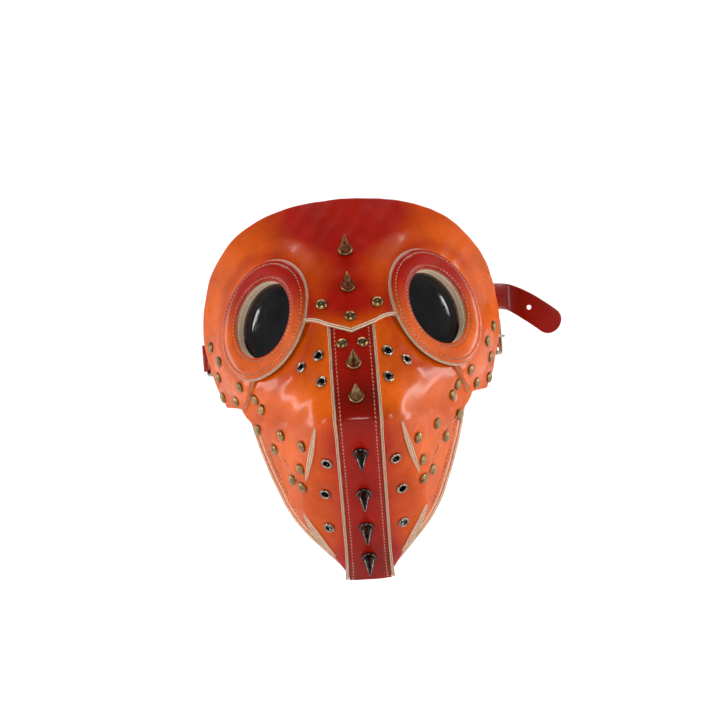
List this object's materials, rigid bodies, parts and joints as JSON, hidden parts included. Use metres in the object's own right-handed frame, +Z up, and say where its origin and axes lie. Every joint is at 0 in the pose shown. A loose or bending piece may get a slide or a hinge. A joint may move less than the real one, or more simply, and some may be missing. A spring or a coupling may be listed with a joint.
{
  "type": "plague doctor mask",
  "caption": "Beaked leather costume mask with two round goggle eyes, studded nose strip, riveted cheek and jaw panels, vent eyelets and a buckled head strap.",
  "frame": {"origin": "between the temples at eye height, on the plane where the mask meets the head; the mount face_opening", "axes": "+Z up, the mask faces -Y, +X is the wearer's left"},
  "size_m": [0.2718, 0.2906, 0.2752],
  "materials": {
    "orange_leather": "glossy dyed vegetable-tanned leather",
    "red_leather": "glossy dark red leather",
    "raw_leather_edge": "raw cut edge",
    "smoked_lens": "smoked gloss",
    "antique_brass": "antiqued",
    "dark_spike": "polished gunmetal",
    "black_cloth": "matte black woven cloth",
    "nickel": "nickel plated",
    "steel": "zinc plated"
  },
  "bodies": {
    "mask": {"forehead_panel": "orange_leather", "left_face_panel": "orange_leather", "right_face_panel": "orange_leather", "left_jaw_panel": "orange_leather", "right_jaw_panel": "orange_leather", "nose_strip": "red_leather", "left_eye_ring": "orange_leather", "right_eye_ring": "orange_leather", "left_eye_rim": "raw_leather_edge", "right_eye_rim": "raw_leather_edge", "left_lens": "smoked_lens", "right_lens": "smoked_lens", "left_lens_retainer": "orange_leather", "right_lens_retainer": "orange_leather", "left_cheek_welt": "raw_leather_edge", "right_cheek_welt": "raw_leather_edge", "left_chin_welt": "raw_leather_edge", "right_chin_welt": "raw_leather_edge", "brow_spikes": "antique_brass", "nose_spikes": "antique_brass", "beak_spikes": "dark_spike", "spike_screws": "steel", "brow_rivets": "antique_brass", "nose_rivets": "antique_brass", "left_flap_rivets": "antique_brass", "right_flap_rivets": "antique_brass", "left_seam_rivets": "antique_brass", "right_seam_rivets": "antique_brass", "left_cheek_rivets": "antique_brass", "right_cheek_rivets": "antique_brass", "left_jaw_rivets": "antique_brass", "right_jaw_rivets": "antique_brass", "left_snout_eyelets": "nickel", "right_snout_eyelets": "nickel", "left_beak_eyelets": "nickel", "right_beak_eyelets": "nickel", "left_temple_tab": "red_leather", "right_temple_tab": "red_leather", "left_vent_lining": "black_cloth", "right_vent_lining": "black_cloth"},
    "left_buckle": {"left_buckle_frame": "antique_brass"},
    "left_prong": {"left_buckle_prong": "antique_brass"},
    "right_ring": {"right_strap_ring": "antique_brass"},
    "head_strap": {"back_strap": "red_leather"},
    "loose_tail": {"strap_tail": "red_leather"}
  },
  "joints": [
    {"name": "left_buckle_hinge", "type": "hinge", "parent": "mask", "child": "left_buckle", "pos_m": [0.1059, 0.00227, -0.022], "axis": [0, 0, 1], "range_deg": [-20, 35]},
    {"name": "left_prong_hinge", "type": "hinge", "parent": "left_buckle", "child": "left_prong", "pos_m": [0.1059, 0.00227, -0.022], "axis": [0, 0, 1], "range_deg": [-85, 0]},
    {"name": "right_ring_hinge", "type": "hinge", "parent": "mask", "child": "right_ring", "pos_m": [-0.1059, 0.00227, -0.022], "axis": [0, 0, 1], "range_deg": [0, 20]},
    {"name": "strap_hinge", "type": "hinge", "parent": "right_ring", "child": "head_strap", "pos_m": [-0.11001, 0.01877, -0.022], "axis": [0, 0, 1], "range_deg": [0, 50]},
    {"name": "tail_flex", "type": "hinge", "parent": "head_strap", "child": "loose_tail", "pos_m": [0.117, 0.036, 0.008], "axis": [0, 0, 1], "range_deg": [-18, 20]}
  ]
}
